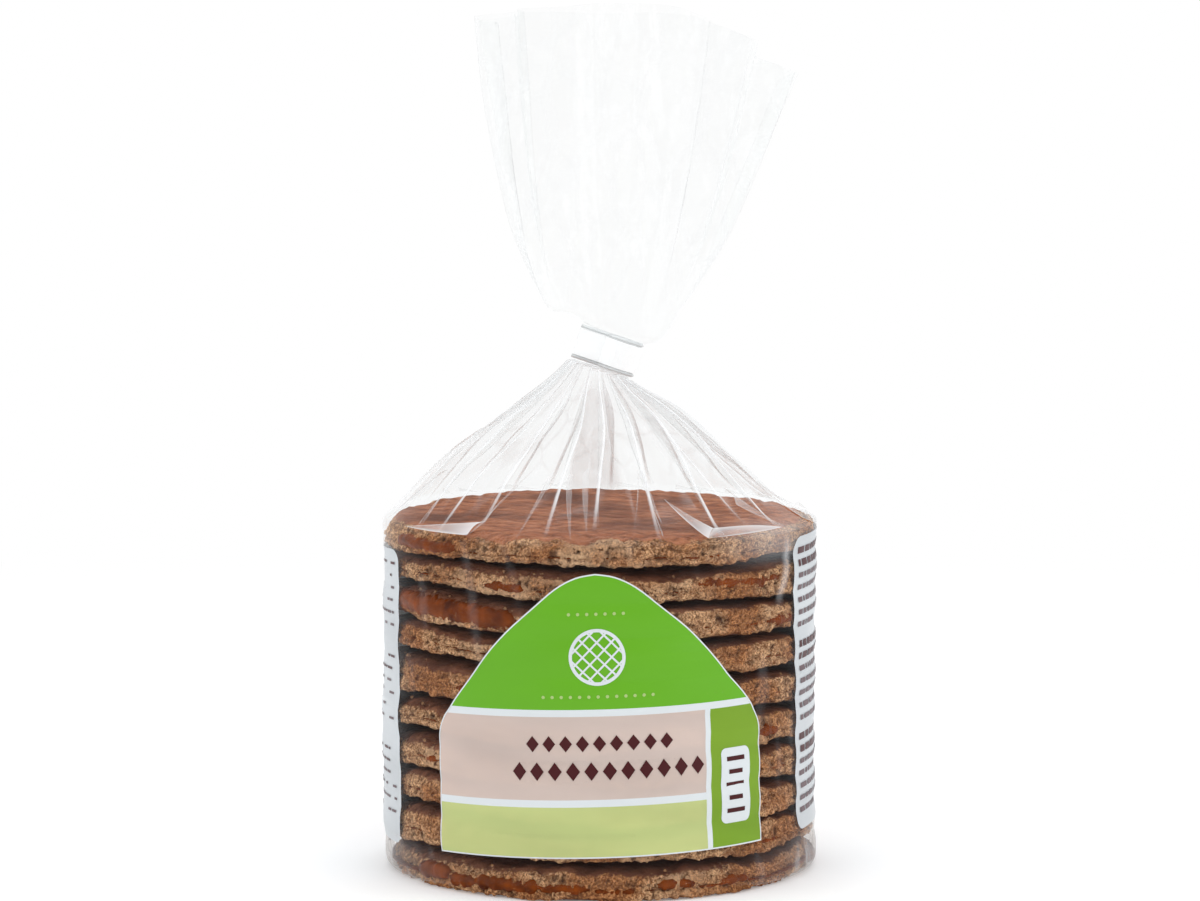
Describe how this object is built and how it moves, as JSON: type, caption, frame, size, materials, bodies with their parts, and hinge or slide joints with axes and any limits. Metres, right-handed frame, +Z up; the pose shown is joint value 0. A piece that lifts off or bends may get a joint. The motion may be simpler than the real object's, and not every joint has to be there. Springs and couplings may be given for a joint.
{
  "type": "stroopwafel pack",
  "caption": "Clear film bag holding a tight stack of round syrup waffles, gathered to a neck under a white clip band, with the loose end of the bag fanned out above.",
  "frame": {"origin": "middle of the base, at the height of the surface that the pack stands on", "axes": "+Z up through the stack and the neck, -Y towards the front with the printed panel, +X to the right"},
  "size_m": [0.1008, 0.101, 0.1987],
  "materials": {
    "film_and_waffles": "clear glossy film drawn tight over brown waffles",
    "white_band": "smooth white plastic",
    "steel_wire": "dull drawn wire"
  },
  "bodies": {
    "root": {"sealed_bag": "film_and_waffles", "clip_band": "white_band", "clip_wire_lower": "steel_wire", "clip_wire_upper": "steel_wire"}
  },
  "joints": []
}
